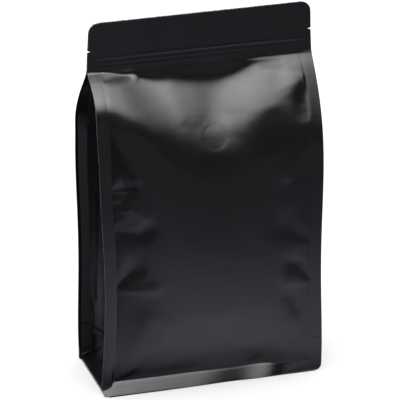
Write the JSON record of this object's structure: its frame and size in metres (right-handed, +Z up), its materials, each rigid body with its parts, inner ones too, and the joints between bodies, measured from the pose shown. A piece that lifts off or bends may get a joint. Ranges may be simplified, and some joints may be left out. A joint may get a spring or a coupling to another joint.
{
  "type": "flat-bottom pouch with valve",
  "caption": "Filled flat-bottom pouch of matte black film, with gusseted sides, sealed edges, sloping shoulders, a flat zipped header with tear notches, and a round vent valve in front.",
  "frame": {"origin": "middle of the pouch's base box, on the surface it stands on", "axes": "+Z up, +X to the right seen from the front, -Y out of the front film"},
  "size_m": [0.193, 0.1008, 0.3166],
  "materials": {
    "laminate_film": "matte black laminated film, heat-sealed, with a soft satin sheen",
    "valve_film": "the same film, drawn tight over the round valve"
  },
  "bodies": {
    "root": {"pouch": "laminate_film", "valve": "valve_film"}
  },
  "joints": []
}
